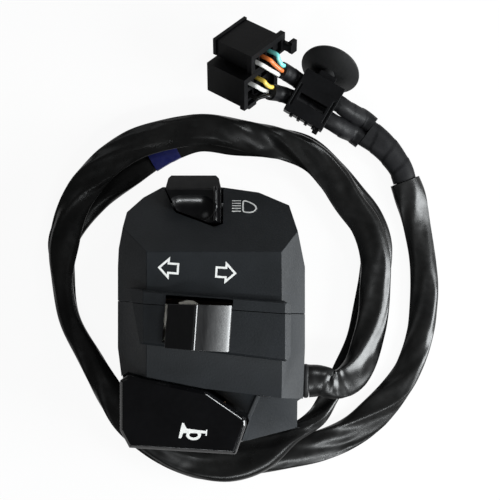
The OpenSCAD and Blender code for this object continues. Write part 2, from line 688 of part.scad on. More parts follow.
module turn_base() {
    rail_v = slider_half_v + slide_gap;
    color("#3a2a1e") turn_axes() difference() {
        union() {
            block([-plate_u, -rail_v - rail_w, turn_base_z], [plate_u, rail_v + rail_w, turn_floor]);
            for (s = [0, 1])
                mirror([0, s, 0])
                    block([-plate_u, rail_v, turn_floor - 0.1],
                        [plate_u, rail_v + rail_w, turn_floor + rail_h]);
            block([-plate_u, -turn_ear_v - 2.7, turn_base_z], [plate_u, -rail_v, turn_floor]);
        }
        for (s = [-1, 0, 1])
            translate([detent_u + s * turn_travel, 0, turn_ball_z]) rotate([90, 0, 0])
                cylinder(r = ball_r + 0.6, h = 5, center = true);
        for (u = [-turn_ear_u, turn_ear_u])
            rod_z(1.1, turn_base_z - 1, turn_floor + 1, [u, -turn_ear_v]);
        for (p = turn_contacts_at())
            rod_z(0.9, turn_base_z - 1, turn_floor + 1, p);
    }
}
module turn_base_screws() {
    color("#8d9094") turn_axes() for (u = [-turn_ear_u, turn_ear_u]) {
        rod_z(1.1, turn_base_z, turn_floor + 6, [u, -turn_ear_v]);
        rod_z(2.1, turn_base_z - 1.5, turn_base_z, [u, -turn_ear_v]);
    }
}
function turn_contacts_at() = [for (s = [-1, 0, 1]) [-detent_u + s * turn_travel, 1.6]];
module turn_fixed_contacts() {
    color("#b08d3c") turn_axes() for (p = turn_contacts_at())
        rod_z(0.9, turn_base_z, turn_floor, p);
}
module turn_wiper() {
    color("#b08d3c") turn_axes() {
        block([-slider_half_u + 0.9, -2.9, slider_z], [-8.1, 2.9, slider_z + 0.4]);
        rod_z(0.7, slider_z - 0.2, slider_z + 0.1, [-detent_u, 1.6]);
    }
}
module turn_detent_spring() {
    color("#a7a9ac") turn_axes() translate([detent_u, 0, 0])
        coil_spring(ball_r - 0.4, 0.4, turn_ball_z + ball_r + 0.05, slider_top - 1, 4);
}
module turn_detent_ball() {
    color("#c9cbcd") turn_axes() translate([detent_u, 0, turn_ball_z]) sphere(ball_r);
}
module turn_push_spring() {
    color("#a7a9ac") turn_axes() coil_spring(3.4, 0.6, pocket_z, stem_z, 3);
}

module horn_button() {
    color("#0b0b0c") difference() {
        union() {
            difference() {
                prism_z(horn_outline, horn_low, horn_top);
                bevel_cut(horn_outline, horn_top, horn_bevel);
                prism_z(inset(horn_outline, horn_wall + 0.6), horn_low - 1, horn_ceiling);
            }
            block([horn_pin_x - 2, horn_knuckle[0], horn_pin_z],
                [horn_pin_x + 2, horn_knuckle[1], horn_ceiling + 0.2]);
            rod_y(2, horn_knuckle[0], horn_knuckle[1], horn_pin_x, horn_pin_z);
        }
        rod_y(horn_pin_d / 2 + run_gap, horn_knuckle[0] - 1, horn_knuckle[1] + 1, horn_pin_x, horn_pin_z);
    }
}
module horn_pivot_pin() {
    color("#a7a9ac") rod_y(horn_pin_d / 2, horn_pin_y[0], horn_pin_y[1], horn_pin_x, horn_pin_z);
}
module horn_base() {
    color("#3a2a1e") difference() {
        union() {
            block(concat(horn_base_box[0], pocket_floor), concat(horn_base_box[1], horn_base_top));
            rod_z(2, horn_base_top - 1, horn_base_top + 2, horn_spring_at);
            rod_z(2.6, horn_base_top - 1, horn_contact_z - horn_drop - 1.2, horn_contact_at);
        }
        rod_z(1.6, pocket_floor - 1, horn_top, horn_contact_at);
        for (p = horn_screws_at)
            rod_z(1.3, pocket_floor - 1, horn_base_top + 1, p);
    }
}
module horn_base_screws() {
    color("#8d9094") for (p = horn_screws_at) {
        rod_z(1.3, pocket_floor - wall, horn_base_top, p);
        rod_z(2.2, horn_base_top, horn_base_top + 1.5, p);
    }
}
module horn_return_spring() {
    color("#a7a9ac") translate([horn_spring_at.x, horn_spring_at.y, 0])
        coil_spring(3, 0.7, horn_base_top, horn_ceiling, 5);
}
module horn_moving_contact() {
    color("#b08d3c") {
        rod_z(1.5, horn_contact_z, horn_ceiling, horn_contact_at);
        rod_z(1.9, horn_ceiling - 0.8, horn_ceiling, horn_contact_at);
    }
}
module horn_fixed_contact() {
    color("#b08d3c") rod_z(1.6, lead_horn_z - 1.2, horn_contact_z - horn_drop - 0.3, horn_contact_at);
}

module harness_sleeve() {
    color("#141415") tube(sleeve_route, wide, sleeve_thick / 2, 10);
}
module marker_tape() {
    color("#1c2566") tube(marker_route, wide + 0.3, sleeve_thick / 2 + 0.3, 10);
}
module tape_bundle() {
    color("#121213") tube(bundle_route, bundle_w / 2, bundle_h / 2, 10);
}
module branch_upper() {
    color("#171718") tube(upper_route, branch_d / 2, branch_d / 2, 8);
}
module branch_lower() {
    color("#171718") tube(lower_route, branch_d / 2, branch_d / 2, 8);
}

// Clip: a trough round both branches, and the lid with its latch window
module clip_axes() {
    translate(clip_at) rotate([0, 0, clip_turn]) children();
}
module clip_body() {
    hl = clip_l / 2;
    hw = clip_w / 2;
    hh = clip_h / 2;
    color("#19191b") clip_axes() {
        difference() {
            union() {
                block([-hl, -hw, -hh], [hl, hw, hh - clip_wall]);
                block([-3.2, hw - 0.5, -0.8], [3.2, hw + 2.1, hh - clip_wall]);
            }
            block([-hl - 1, -clip_room_w / 2, -hh + clip_wall], [hl + 1, clip_room_w / 2, hh]);
            translate([0, hw, -hh]) rotate([45, 0, 0]) cube([clip_l + 2, 2.3, 2.3], center = true);
        }
        for (x = [-4.5, -1.5, 1.5, 4.5])
            block([x - 0.6, -hw - 0.7, -hh + 1], [x + 0.6, -hw + 0.1, hh - clip_wall]);
        block([hl - 3, -hw - 1.6, -hh], [hl - 1, -hw + 0.1, -hh + 3]);
    }
}
module clip_lid() {
    hl = clip_l / 2;
    hw = clip_w / 2;
    hh = clip_h / 2;
    window = [10.5, 2.8];
    color("#1b1b1d") clip_axes() difference() {
        block([-hl, -hw, hh - clip_wall], [hl, hw, hh]);
        translate([0, -1.6, hh]) cube([window.x, window.y, 4 * clip_wall], center = true);
        for (x = [-6.6, 6.6])
            translate([x, -1.6, hh]) cube([0.5, hw, 0.8], center = true);
    }
}
// Umbrella: post, thin dome and the barbed stud behind it
module clip_umbrella() {
    r = umbrella_d / 2;
    bow = 42;
    rise = 2.4;
    dome = [for (a = [0:6:bow]) [r * sin(a) / sin(bow), rise * (cos(a) - cos(bow)) / (1 - cos(bow))]];
    outer_face = [for (i = [len(dome) - 1:-1:0]) [dome[i].x, -dome[i].y]];
    inner_face = [for (p = dome) [max(p.x - 0.4, 0), 1.1 - p.y]];
    color("#151516") translate(umbrella_at) rotate([0, umbrella_lean, umbrella_turn]) {
        rotate_extrude() polygon(concat(outer_face, inner_face));
        translate([0, 0, -rise - 2.6]) cylinder(r = 2.4, h = 3);
        translate([0, 0, -rise]) cylinder(r = 2.1, h = 5);
        translate([0, 0, 2.4]) cylinder(r1 = 3.2, r2 = 1.4, h = 3.4);
    }
}

// Connectors: their own axes start at the wire end of the upper one
module connector_axes() {
    translate(connector_at) rotate([connector_tilt, 0, 0]) rotate([0, 0, connector_turn]) children();
}
module connector_shell(y0, z0, h, cells) {
    difference() {
        union() {
            block([-connector_l, y0, z0 - h], [0, y0 + connector_w, z0]);
            block([-flange_l, y0 - flange, z0 - h + 0.05], [0, y0 + connector_w + flange, z0 + flange]);
        }
        block([-flange_l + 0.4, y0 + 0.8, z0 - h + 1], [1, y0 + connector_w - 0.8, z0 - 1]);
        for (c = cells)
            block([-connector_l - 1, c.x - cell / 2, c.y - cell / 2], [1, c.x + cell / 2, c.y + cell / 2]);
    }
}
// Lip along two edges of the far end
module far_lip() {
    block([-connector_l, 0, -0.5], [-connector_l + 1.2, connector_w + 0.5, 0.5]);
    block([-connector_l, -0.6, -upper_h + 0.5], [-connector_l + 1.2, 0.1, 0.5]);
}
module connector_upper() {
    color("#171718") connector_axes() {
        connector_shell(0, 0, upper_h, upper_cells);
        far_lip();
        block([-6, connector_w, -5.6], [3.6, connector_w + 1.4, -2.4]);
        block([2, connector_w + 0.6, -6.4], [3.6, connector_w + 3.4, -1.6]);
    }
}
module connector_lower() {
    color("#161617") connector_axes() {
        connector_shell(-ledge, -upper_h - flange - 0.1, lower_h, lower_cells);
        block([-flange_l, -ledge + 1.5, -upper_h - flange - lower_h - 1],
            [0, -ledge + 5.5, -upper_h - flange - lower_h]);
    }
}
module terminal(c) {
    block([-connector_l + 3, c.x - 1.2, c.y - cell / 2], [-6, c.x + 1.2, c.y - cell / 2 + 0.8]);
    block([-9, c.x - 1.2, c.y - cell / 2], [-6, c.x + 1.2, c.y + 0.6]);
}
module terminals_upper() {
    color("#b9a06a") connector_axes() for (c = upper_cells)
        terminal(c);
}
module terminals_lower() {
    color("#b9a06a") connector_axes() for (c = lower_cells)
        terminal(c);
}

// Wires: out of a terminal, across to the end of a branch
function turned_x(p, a) = [p.x, p.y * cos(a) - p.z * sin(a), p.y * sin(a) + p.z * cos(a)];
function turned_z(p, a) = [p.x * cos(a) - p.y * sin(a), p.x * sin(a) + p.y * cos(a), p.z];
function in_connector(p) = connector_at + turned_x(turned_z(p, connector_turn), connector_tilt);
function branch_tip(route, side, up) = let (n = len(route) - 1, t = heading(route, n),
    s = unit(cross(t, [0, 0, 1]))) [route[n] + side * s + up * cross(s, t), t];
function wire_route(c, tip) = let (root = tip[0], back = tip[1], mouth = in_connector([1.5, c.x, c.y]),
    mid = (mouth + root + 2.4 * back) / 2)
    [in_connector([-6, c.x, c.y]), in_connector([-2.5, c.x, c.y]), mouth,
        mid, root + 1.8 * back, root];
module wire(c, tip) {
    tube(wire_route(c, tip), wire_d / 2, wire_d / 2, 8);
}
module wire_teal() {
    color("#7fd4cf") wire(upper_cells[2], branch_tip(upper_route, 1.6, 0.8));
}
module wire_orange() {
    color("#d9773c") wire(upper_cells[1], branch_tip(upper_route, -0.2, 1));
}
module wires_white() {
    color("#f2f2ee") {
        wire(upper_cells[0], branch_tip(upper_route, -1.9, 0));
        wire(lower_cells[0], branch_tip(lower_route, 0, -1.2));
    }
}
module wire_yellow() {
    color("#e0c95a") wire(lower_cells[1], branch_tip(lower_route, 1.6, 0.9));
}
module wire_black() {
    color("#101011") wire(lower_cells[3], branch_tip(lower_route, -1.8, 0.6));
}

// Leads inside the housing: from the end of the sleeve through the grommet to the three switches
lead_horn_z = pocket_floor - wall - 1.4;
function in_turn(u, v, z) = [turn_x, turn_y, z] + turned_z([u, v, 0], -part_tilt);
lead_in = half_w - 6;
horn_lead = [[grommet_face, grommet_y - grommet_half, 13], [lead_in, -27.1, 13], [22, -27.8, 15.4],
    [17, -29.2, 20], [12, -31, 25], [7.5, -32.5, lead_horn_z - 1.7],
    [horn_contact_at.x + 2.6, horn_contact_at.y, lead_horn_z],
    [horn_contact_at.x, horn_contact_at.y, lead_horn_z]];
turn_lead = [[grommet_face, grommet_y, 13], [lead_in, -24.5, 13], [24.2, -22, 15.2], [23.6, -18.8, 19.4],
    [22.6, -16.6, 24.4], [20.6, -15.4, 29.4], in_turn(plate_u + 4.9, -10, turn_base_z - 2.4),
    in_turn(plate_u + 3.2, -10, turn_base_z - 0.1), in_turn(plate_u + 1.6, -10, turn_base_z + 1),
    in_turn(plate_u, -10, turn_base_z + 1)];
dimmer_lead = [[grommet_face, grommet_y + grommet_half, 13], [lead_in, -21.9, 13], [22.6, -19.6, 10],
    [21, -15, 6.8], [20.4, -8, 5.2], [20, 2, 4.9], [19, 12, 5], [16.5, 20, 7], [13, 26.5, 10.5],
    [9, 31, 13.6], [rocker_x + 11.6, dimmer_ear_y - 1, 15], [rocker_x + 9.8, dimmer_ear_y - 1, 15],
    [rocker_x + 8, dimmer_ear_y - 1, 15]];
module inner_leads() {
    color("#5c5a55") for (p = [horn_lead, turn_lead, dimmer_lead])
        tube(p, wire_d / 2, wire_d / 2, 8);
}

upper_housing();
lower_housing();
clamp_screws();
clamp_inserts();
cable_grommet();
dimmer_rocker();
dimmer_pivot_pin();
dimmer_base();
dimmer_base_screws();
dimmer_fixed_contacts();
dimmer_wiper();
dimmer_detent_spring();
dimmer_detent_ball();
turn_knob();
turn_slider();
turn_base();
turn_base_screws();
turn_fixed_contacts();
turn_wiper();
turn_detent_spring();
turn_detent_ball();
turn_push_spring();
horn_button();
horn_pivot_pin();
horn_base();
horn_base_screws();
horn_return_spring();
horn_moving_contact();
horn_fixed_contact();
harness_sleeve();
marker_tape();
tape_bundle();
branch_upper();
branch_lower();
clip_body();
clip_lid();
clip_umbrella();
connector_upper();
connector_lower();
terminals_upper();
terminals_lower();
wire_teal();
wire_orange();
wires_white();
wire_yellow();
wire_black();
inner_leads();
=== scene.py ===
import json
import math

import bmesh
import bpy
from mathutils import Matrix, Vector, noise
from mathutils.bvhtree import BVHTree


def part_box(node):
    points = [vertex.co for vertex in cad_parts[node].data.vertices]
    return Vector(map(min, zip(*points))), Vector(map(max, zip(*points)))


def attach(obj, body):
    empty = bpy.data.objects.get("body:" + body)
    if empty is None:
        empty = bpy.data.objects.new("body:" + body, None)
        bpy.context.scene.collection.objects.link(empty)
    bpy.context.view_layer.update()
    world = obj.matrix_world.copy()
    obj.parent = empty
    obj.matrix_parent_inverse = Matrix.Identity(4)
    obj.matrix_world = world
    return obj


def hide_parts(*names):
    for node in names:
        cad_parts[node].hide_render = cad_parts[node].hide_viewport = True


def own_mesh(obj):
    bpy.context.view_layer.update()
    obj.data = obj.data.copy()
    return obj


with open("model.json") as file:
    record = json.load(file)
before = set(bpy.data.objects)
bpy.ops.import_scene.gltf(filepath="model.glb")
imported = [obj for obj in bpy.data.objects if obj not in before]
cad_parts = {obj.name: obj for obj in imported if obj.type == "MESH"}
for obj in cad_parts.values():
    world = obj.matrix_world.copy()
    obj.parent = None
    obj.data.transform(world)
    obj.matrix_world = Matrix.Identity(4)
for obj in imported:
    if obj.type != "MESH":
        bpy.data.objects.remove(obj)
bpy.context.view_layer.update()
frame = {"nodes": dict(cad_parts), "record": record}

# Housing halves: the upper and the lower shell, which two screws clamp round the handlebar.
# Moulded black plastic with a fine grain. The outer edges have a wide round, slots and seams a fine one,
# and a slim bead runs down the crease beside the horn button.
MM = 0.001


def mottle_group():
    """Shader group: broad patches and fine grain, two masks of noise on Object coordinates."""
    group = bpy.data.node_groups.new("mottle_and_grain", "ShaderNodeTree")
    sockets = (
        ("Stretch", "INPUT", "NodeSocketVector"),
        ("Patch Scale", "INPUT", "NodeSocketFloat"),
        ("Grain Scale", "INPUT", "NodeSocketFloat"),
        ("Patch", "OUTPUT", "NodeSocketFloat"),
        ("Grain", "OUTPUT", "NodeSocketFloat"),
    )
    for name, way, kind in sockets:
        group.interface.new_socket(name=name, in_out=way, socket_type=kind)
    given = group.nodes.new("NodeGroupInput")
    result = group.nodes.new("NodeGroupOutput")
    coords = group.nodes.new("ShaderNodeTexCoord")
    mapping = group.nodes.new("ShaderNodeMapping")
    group.links.new(coords.outputs["Object"], mapping.inputs["Vector"])
    group.links.new(given.outputs["Stretch"], mapping.inputs["Scale"])
    for mask, detail in (("Patch", 4), ("Grain", 3)):
        texture = group.nodes.new("ShaderNodeTexNoise")
        texture.inputs["Detail"].default_value = detail
        group.links.new(mapping.outputs["Vector"], texture.inputs["Vector"])
        group.links.new(given.outputs[f"{mask} Scale"], texture.inputs["Scale"])
        group.links.new(texture.outputs["Fac"], result.inputs[mask])
    return group


mottle = mottle_group()
PATCH_RANGE, GRAIN_RANGE = (0.3, 0.72), (0.3, 0.7)
BUMP_STRENGTH, COAT_ROUGH = 0.6, 0.12


def surface(name, dark, pale, rough, grain, relief, broad=90, metal=0.0, coat=0.0, specular=0.5, stretch=(1, 1, 1)):
    """A material with broad patches of two colours, and fine grain in its roughness and bump."""
    mat = bpy.data.materials.new(name)
    mat.use_nodes = True
    tree = mat.node_tree
    shader = tree.nodes["Principled BSDF"]
    shader.inputs["Metallic"].default_value = metal
    shader.inputs["Coat Weight"].default_value = coat
    shader.inputs["Coat Roughness"].default_value = COAT_ROUGH
    shader.inputs["Specular IOR Level"].default_value = specular
    masks = tree.nodes.new("ShaderNodeGroup")
    masks.node_tree = mottle
    masks.inputs["Stretch"].default_value = stretch
    masks.inputs["Patch Scale"].default_value = broad
    masks.inputs["Grain Scale"].default_value = grain
    ramp = tree.nodes.new("ShaderNodeValToRGB")
    for stop, place, colour in zip(ramp.color_ramp.elements, PATCH_RANGE, (dark, pale)):
        stop.position = place
        stop.color = (*colour, 1)
    tree.links.new(masks.outputs["Patch"], ramp.inputs["Fac"])
    tree.links.new(ramp.outputs["Color"], shader.inputs["Base Color"])
    spread = tree.nodes.new("ShaderNodeMapRange")
    for socket, value in zip(("From Min", "From Max", "To Min", "To Max"), (*GRAIN_RANGE, *rough)):
        spread.inputs[socket].default_value = value
    tree.links.new(masks.outputs["Grain"], spread.inputs["Value"])
    tree.links.new(spread.outputs["Result"], shader.inputs["Roughness"])
    bump = tree.nodes.new("ShaderNodeBump")
    bump.inputs["Strength"].default_value = BUMP_STRENGTH
    bump.inputs["Distance"].default_value = relief
    tree.links.new(masks.outputs["Grain"], bump.inputs["Height"])
    tree.links.new(bump.outputs["Normal"], shader.inputs["Normal"])
    return mat


MERGE_GAP, FLAT_TURN, SHARP_TURN = 0.002 * MM, math.radians(0.6), 35


def clean_copy(node):
    """The node's mesh with doubles merged and flat faces joined."""
    bm = bmesh.new()
    bm.from_mesh(frame["nodes"][node].data)
    bmesh.ops.remove_doubles(bm, verts=bm.verts[:], dist=MERGE_GAP)
    bmesh.ops.dissolve_limit(
        bm, angle_limit=FLAT_TURN, use_dissolve_boundaries=False, verts=bm.verts[:], edges=bm.edges[:]
    )
    bm.normal_update()
    return bm


def round_edges(bm, width, segments, sharper, pick):
    """Rounds the picked edges that turn by more than sharper degrees."""
    edges = [
        e
        for e in bm.edges
        if len(e.link_faces) == 2 and e.calc_face_angle(0) > math.radians(sharper) and pick(e)
    ]
    bmesh.ops.bevel(
        bm,
        geom=edges,
        offset=width,
        offset_type="OFFSET",
        segments=segments,
        profile=0.5,
        affect="EDGES",
        clamp_overlap=True,
        material=-1,
    )
    bm.normal_update()


def add_piece(name, bm, body, material, nodes=(), angle=SHARP_TURN):
    """A new smooth object from a mesh, with edges sharper than angle kept sharp, in place of the CAD nodes."""
    mesh = bpy.data.meshes.new(name)
    bm.to_mesh(mesh)
    bm.free()
    mesh.polygons.foreach_set("use_smooth", [True] * len(mesh.polygons))
    mesh.set_sharp_from_angle(angle=math.radians(angle))
    mesh.materials.append(material)
    obj = bpy.data.objects.new(name, mesh)
    bpy.context.collection.objects.link(obj)
    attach(obj, body)
    if nodes:
        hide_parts(*nodes)
    return obj


def weighted(obj):
    """Keeps flat faces flat beside their rounds."""
    mod = obj.modifiers.new("flat_faces", "WEIGHTED_NORMAL")
    mod.keep_sharp = True


housing_mat = surface(
    "grained_housing", (0.008, 0.0095, 0.011), (0.012, 0.014, 0.0165), (0.46, 0.58), 1500, 0.07 * MM, specular=0.28
)
BEAD_W, BEAD_H, BEAD_SIDES, BEAD_ENDS = 0.9 * MM, 0.55 * MM, 20, (0.08, 0.92)
SHELF_UP, FALL_UP = Vector((0, -0.196, 0.981)), Vector((0.48, -0.37, 0.8))
SHELF_NEAR, FALL_NEAR = 0.99, 0.98


def draw_out(bm, face, way):
    """Extrudes a loose face along way into a closed solid, with its faces outwards."""
    made = bmesh.ops.extrude_face_region(bm, geom=[face])["geom"]
    far = [g for g in made if isinstance(g, bmesh.types.BMVert)]
    bmesh.ops.translate(bm, vec=way, verts=far)
    bmesh.ops.recalc_face_normals(bm, faces=list({face} | {f for v in far for f in v.link_faces}))


def crease_bead(bm):
    """A slim moulded bead on the crease where the shelf beside the horn button turns down."""
    for e in bm.edges[:]:
        ups = [f.normal.copy() for f in e.link_faces]
        if any(n.dot(SHELF_UP) > SHELF_NEAR for n in ups) and any(n.dot(FALL_UP) > FALL_NEAR for n in ups):
            start, stop = (e.verts[0].co.lerp(e.verts[1].co, t) for t in BEAD_ENDS)
            up = (ups[0] + ups[1]).normalized()
            along = (stop - start).normalized()
            place = Matrix((along.cross(up) * BEAD_W, up * BEAD_H, along)).transposed().to_4x4()
            place.translation = start
            ring = bmesh.ops.create_circle(bm, cap_ends=True, segments=BEAD_SIDES, radius=1, matrix=place)["verts"]
            draw_out(bm, ring[0].link_faces[0], stop - start)


HULL_SLACK, OUTER_ROUND, SEAM_ROUND = 2.7 * MM, 1.6 * MM, 0.5 * MM
for half in ("upper_housing", "lower_housing"):
    bm = clean_copy(half)
    outer = bm.faces.layers.int.new("outer")
    points = [v.co.copy() for v in bm.verts]
    for f in bm.faces:
        reach = max(f.normal.dot(p) for p in points)
        f[outer] = int(reach - f.normal.dot(f.verts[0].co) < HULL_SLACK)
    round_edges(
        bm, OUTER_ROUND, segments=4, sharper=12, pick=lambda e: e.is_convex and all(f[outer] for f in e.link_faces)
    )
    round_edges(
        bm, SEAM_ROUND, segments=3, sharper=40, pick=lambda e: e.is_convex and any(f[outer] for f in e.link_faces)
    )
    crease_bead(bm)
    weighted(add_piece(f"{half}_shell", bm, "housing", housing_mat, [half]))

# Glossy controls: the dimmer rocker and the horn button on their pins, and the turn knob in its slider.
# Polished black plastic, hazier on the knob, which the thumb wears, with rounded edges.
# The knob's ridge stands out as a small lip, and the rocker has a round rib at its right end.
GLOSS_DARK, GLOSS_PALE = (0.0015, 0.0015, 0.0018), (0.003, 0.003, 0.0036)
gloss_mat = surface("gloss_black_plastic", GLOSS_DARK, GLOSS_PALE, (0.15, 0.19), 500, 0.003 * MM, coat=0.2)
thumbed_mat = surface(
    "thumbed_black_plastic", GLOSS_DARK, GLOSS_PALE, (0.31, 0.36), 500, 0.004 * MM, specular=0.8, stretch=(3, 0.5, 1)
)
satin_mat = surface("satin_black_plastic", GLOSS_DARK, GLOSS_PALE, (0.22, 0.27), 500, 0.004 * MM)
BAND_TILT, TURN_X, TURN_Y = math.radians(-4), -3.85 * MM, -3.5 * MM
TURN_SPOT = Matrix.Translation((TURN_X, TURN_Y, 0)) @ Matrix.Rotation(BAND_TILT, 4, "Z")
RIDGE_END, NEXT_END, RIDGE_SLACK, LIP_W, LIP_H = -0.95, 0.6, 0.2, 0.45, 0.45
KNOB_TOP, TOP_SLACK = 57.99, 1


def knob_lip(bm):
    """Draws the dome's first row of points in to the ridge, so that the ridge stands proud of it."""
    for v in bm.verts:
        at = TURN_SPOT.inverted() @ v.co / MM
        if RIDGE_END + RIDGE_SLACK < at.x < NEXT_END and at.z > KNOB_TOP - TOP_SLACK:
            at.x = RIDGE_END + LIP_W
            at.z = KNOB_TOP - LIP_H
            v.co = TURN_SPOT @ (at * MM)


def ring_angles(sides):
    """The angles of a ring's points."""
    return [2 * math.pi * k / sides for k in range(sides)]


def skin_rings(bm, rings):
    """Joins rings of points into a closed tube."""
    rows = [[bm.verts.new(p) for p in ring] for ring in rings]
    n = len(rows[0])
    made = []
    for a, b in zip(rows, rows[1:]):
        made += [bm.faces.new((a[k], a[(k + 1) % n], b[(k + 1) % n], b[k])) for k in range(n)]
    made += [bm.faces.new(rows[0]), bm.faces.new(rows[-1])]
    bmesh.ops.recalc_face_normals(bm, faces=made)


RIB_X, RIB_START, RIB_END, RIB_STEPS = 1.35, 31.2, 42.8, 24
RIB_R, RIB_SIDES, ABOVE = 0.75 * MM, 16, 90
ACROSS, DOWN = Vector((1, 0, 0)), Vector((0, 0, -1))


def end_rib(bm):
    """A slim round rib along the rocker's right end, on its upper face."""
    face = BVHTree.FromBMesh(bm)
    line = []
    for k in range(RIB_STEPS + 1):
        y = RIB_START + (RIB_END - RIB_START) * k / RIB_STEPS
        line.append(face.ray_cast(Vector((RIB_X, y, ABOVE)) * MM, DOWN)[0])
    rings = []
    for k, p in enumerate(line):
        along = line[min(k + 1, RIB_STEPS)] - line[max(k - 1, 0)]
        up = Vector((0, -along.z, along.y)).normalized()
        rings.append([p + (ACROSS * math.cos(t) + up * math.sin(t)) * RIB_R for t in ring_angles(RIB_SIDES)])
    skin_rings(bm, rings)


END_ROUND = 0.9 * MM
KNOB_END, ROCKER_END, HORN_END = 6 * MM, 2.2 * MM, -4.5 * MM
CONTROLS = {
    "dimmer_rocker": ("dimmer", 0.4 * MM, ROCKER_END, satin_mat),
    "turn_knob": ("knob", 0.3 * MM, KNOB_END, thumbed_mat),
    "horn_button": ("horn", 0.35 * MM, HORN_END, gloss_mat),
}
for node, (body, width, end, material) in CONTROLS.items():
    bm = clean_copy(node)
    if node == "turn_knob":
        knob_lip(bm)
    round_edges(
        bm, END_ROUND, segments=4, sharper=15, pick=lambda e: e.is_convex and all(v.co.x > end for v in e.verts)
    )
    round_edges(
        bm, width, segments=3, sharper=15, pick=lambda e: e.is_convex and any(v.co.x < end for v in e.verts)
    )
    if node == "dimmer_rocker":
        end_rib(bm)
    weighted(add_piece(f"{node}_cap", bm, body, material, [node]))

# Printed symbols: two hollow arrows, the headlamp and the horn, generic signs for each control.
# White ink, printed on the face that carries it, so each is a thin raised patch.
ink_mat = surface("white_ink", (0.72, 0.72, 0.7), (0.86, 0.86, 0.84), (0.45, 0.6), 3000, 0.006 * MM, broad=700)
INK = 0.04 * MM


def ink_ring(bm, place, points, line):
    """A closed outline drawn with a line of even width."""
    face = bm.faces.new([bm.verts.new(place @ Vector((*p, 0))) for p in points])
    face.normal_update()
    bmesh.ops.inset_region(bm, faces=[face], thickness=line * MM, use_boundary=True, use_even_offset=True)
    bmesh.ops.delete(bm, geom=[face], context="FACES")


def ink_patch(bm, place, points):
    """A filled outline."""
    bm.faces.new([bm.verts.new(place @ Vector((*p, 0))) for p in points])


def print_piece(name, bm, body):
    """Gives the drawn faces the thickness of the ink."""
    bmesh.ops.recalc_face_normals(bm, faces=bm.faces[:])
    for f in bm.faces[:]:
        if f.normal.z < 0:
            f.normal_flip()
    normal = bm.faces[:][0].normal.copy()
    made = bmesh.ops.extrude_face_region(bm, geom=bm.faces[:])["geom"]
    bmesh.ops.translate(bm, vec=normal * INK, verts=[g for g in made if isinstance(g, bmesh.types.BMVert)])
    bmesh.ops.recalc_face_normals(bm, faces=bm.faces[:])
    add_piece(name, bm, body, ink_mat)


FRONT_Z = 48 * MM
ARROW = [(-3.6, 0.0), (0.3, -3.8), (0.3, -1.9), (3.5, -1.9), (3.5, 1.9), (0.3, 1.9), (0.3, 3.8)]
ARROW_LINE = 0.7
ARROWS = {"turn_arrow_left": (-14.0, 15.6, 0.0), "turn_arrow_right": (5.0, 14.1, math.pi)}
for name, (x, y, flip) in ARROWS.items():
    bm = bmesh.new()
    spot = Matrix.Translation((x * MM, y * MM, FRONT_Z)) @ Matrix.Rotation(BAND_TILT + flip, 4, "Z")
    ink_ring(bm, spot @ Matrix.Scale(MM, 4), ARROW, ARROW_LINE)
    print_piece(name, bm, "housing")

SLOPE_START, SLOPE_RUN, SLOPE_FALL = 21, 22.2, 20
LAMP_X, LAMP_Y, LAMP_LINE = 11.1, 36.3, 0.5
lamp_z = FRONT_Z - (LAMP_Y - SLOPE_START) * SLOPE_FALL / SLOPE_RUN * MM
bm = bmesh.new()
spot = Matrix.Translation((LAMP_X * MM, LAMP_Y * MM, lamp_z))
spot = spot @ Matrix.Rotation(-math.atan2(SLOPE_FALL, SLOPE_RUN), 4, "X") @ Matrix.Scale(MM, 4)
LAMP = [
    (-0.7, -1.7), (-0.46, -2.44), (0.3, -2.79), (1.73, -2.95), (2.92, -2.68), (3.87, -1.89), (4.27, -0.83),
    (4.04, 0.29), (3.15, 1.41), (1.73, 2.37), (0.54, 2.92), (-0.23, 3.0), (-0.65, 2.37), (-0.76, 0.29),
]
ink_ring(bm, spot, LAMP, LAMP_LINE)
BEAM_START, BEAM_STOP = -4.2, -1.2
BEAMS = ((2.76, 0.13), (1.57, 0.14), (0.45, 0.17), (-0.78, 0.2), (-2.1, 0.22))
for y, half in BEAMS:
    low, high = y - half, y + half
    ink_patch(bm, spot, [(BEAM_START, low), (BEAM_STOP, low), (BEAM_STOP, high), (BEAM_START, high)])
print_piece("headlamp_symbol", bm, "housing")

HORN_SPOT = (-5.9 * MM, -38.3 * MM, 50 * MM)
bm = bmesh.new()
spot = Matrix.Translation(HORN_SPOT) @ Matrix.Scale(MM, 4)
TRUMPET = [
    (-3.5, 2.9), (-2.9, 2.74), (-2.0, 0.97), (4.35, 0.17), (4.44, 0.61), (4.83, 0.53), (4.61, -1.42), (4.21, -1.33),
    (4.26, -0.62), (-3.1, -0.49), (-3.87, -2.26), (-4.7, -2.17),
]
ink_patch(bm, spot, TRUMPET[::-1])
COIL, ARC_STEPS = (0.3, -1.15), 16
COIL_OUTSIDE, COIL_INSIDE = (2.45, 1.7, 159, 381), (1.45, 0.85, 405, 135)


def arc(half_w, half_h, start, stop):
    """Points of an ellipse round the coil's middle, from start to stop degrees."""
    turns = [math.radians(start + (stop - start) * i / ARC_STEPS) for i in range(ARC_STEPS + 1)]
    return [(COIL[0] + half_w * math.cos(a), COIL[1] + half_h * math.sin(a)) for a in turns]


ink_patch(bm, spot, arc(*COIL_OUTSIDE) + arc(*COIL_INSIDE))
print_piece("horn_symbol", bm, "horn")

